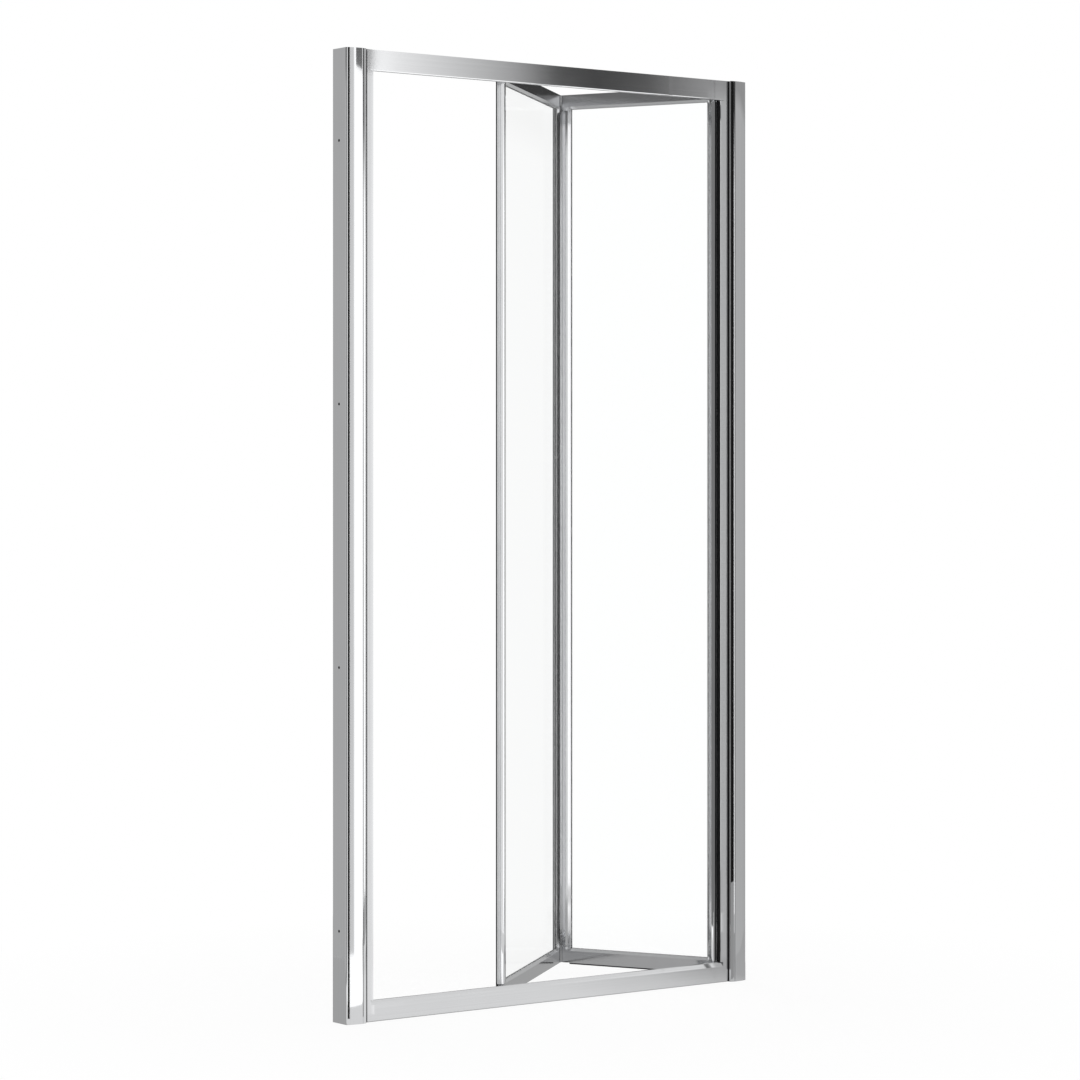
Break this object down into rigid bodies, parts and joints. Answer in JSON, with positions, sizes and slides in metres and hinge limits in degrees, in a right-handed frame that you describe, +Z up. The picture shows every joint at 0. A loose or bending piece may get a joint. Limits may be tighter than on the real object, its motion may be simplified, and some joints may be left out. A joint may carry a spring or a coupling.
{
  "type": "bifold shower door",
  "caption": "Framed bifold shower door: bright wall frame with head rail and sill, and two clear glazed leaves that fold inwards on a continuous hinge.",
  "frame": {"origin": "on the tray, mid-way between the walls, directly under the line of the pivot and the guide track", "axes": "+X towards the hinge side, +Y into the shower enclosure, +Z up"},
  "size_m": [0.99, 0.3548, 1.85],
  "materials": {
    "wall_profile_aluminium": "polished, bright anodised",
    "frame_aluminium": "polished, bright anodised",
    "leaf_aluminium": "polished, bright anodised",
    "clear_glass": "clear toughened glass, polished edges",
    "glazing_gasket": "dark grey glazing gasket, satin",
    "soft_seal": "light grey flexible seal, satin",
    "black_rubber": "matt black rubber",
    "stainless_steel": "bright stainless steel",
    "nylon": "satin moulded nylon"
  },
  "bodies": {
    "frame": {"wall_profile_left": "wall_profile_aluminium", "wall_profile_right": "wall_profile_aluminium", "strike_jamb": "frame_aluminium", "pivot_jamb": "frame_aluminium", "head_rail": "frame_aluminium", "sill_rail": "frame_aluminium", "jamb_magnet_strip": "soft_seal", "pivot_jamb_seal": "black_rubber", "frame_screws": "stainless_steel", "adjuster_screws": "stainless_steel", "pivot_block_top": "nylon", "pivot_block_bottom": "nylon", "pivot_block_screws": "stainless_steel", "thrust_washer": "nylon", "track_stop": "nylon", "track_stop_buffer": "black_rubber", "track_stop_screw": "stainless_steel"},
    "hinge_leaf": {"pivot_stile": "leaf_aluminium", "bead_stile": "leaf_aluminium", "hinge_leaf_top_rail": "leaf_aluminium", "hinge_leaf_bottom_rail": "leaf_aluminium", "hinge_leaf_glass": "clear_glass", "hinge_leaf_gasket": "glazing_gasket", "hinge_leaf_glazing_beads": "leaf_aluminium", "hinge_leaf_screws": "stainless_steel", "hinge_leaf_wiper": "soft_seal", "bead_stile_caps": "nylon", "pivot_plug_top": "nylon", "pivot_plug_bottom": "nylon", "pivot_pin_top": "stainless_steel", "pivot_pin_bottom": "stainless_steel", "height_nut": "stainless_steel"},
    "sliding_leaf": {"socket_stile": "leaf_aluminium", "closing_stile": "leaf_aluminium", "sliding_leaf_top_rail": "leaf_aluminium", "sliding_leaf_bottom_rail": "leaf_aluminium", "sliding_leaf_glass": "clear_glass", "sliding_leaf_gasket": "glazing_gasket", "sliding_leaf_glazing_beads": "leaf_aluminium", "sliding_leaf_screws": "stainless_steel", "sliding_leaf_wiper": "soft_seal", "socket_stile_caps": "nylon", "hinge_liner": "nylon", "fold_seal": "black_rubber", "closing_seal": "soft_seal", "guide_plug_top": "nylon", "guide_plug_bottom": "nylon", "guide_stud_top": "stainless_steel", "guide_stud_bottom": "stainless_steel"},
    "top_shoe": {"guide_shoe_top": "nylon"},
    "bottom_shoe": {"guide_shoe_bottom": "nylon"}
  },
  "joints": [
    {"name": "hinge_leaf_swing", "type": "hinge", "parent": "frame", "child": "hinge_leaf", "pos_m": [0.428, 0, 0], "axis": [0, 0, -1], "range_deg": [-64.5, 4]},
    {"name": "leaf_fold", "type": "hinge", "parent": "hinge_leaf", "child": "sliding_leaf", "pos_m": [0.27191, 0.31332, 0], "axis": [0, 0, 1], "range_deg": [-104.37, 6.48]},
    {"name": "top_shoe_turn", "type": "hinge", "parent": "sliding_leaf", "child": "top_shoe", "pos_m": [-0.11278, 0, 0], "axis": [0, 0, -1], "range_deg": [-39.87, 2.48]},
    {"name": "bottom_shoe_turn", "type": "hinge", "parent": "sliding_leaf", "child": "bottom_shoe", "pos_m": [-0.11278, 0, 0], "axis": [0, 0, -1], "range_deg": [-39.87, 2.48]}
  ],
  "couplings": [
    {"joint": "leaf_fold", "follows": "hinge_leaf_swing", "ratio": 1.6179},
    {"joint": "top_shoe_turn", "follows": "hinge_leaf_swing", "ratio": 0.61792},
    {"joint": "bottom_shoe_turn", "follows": "hinge_leaf_swing", "ratio": 0.61792}
  ]
}
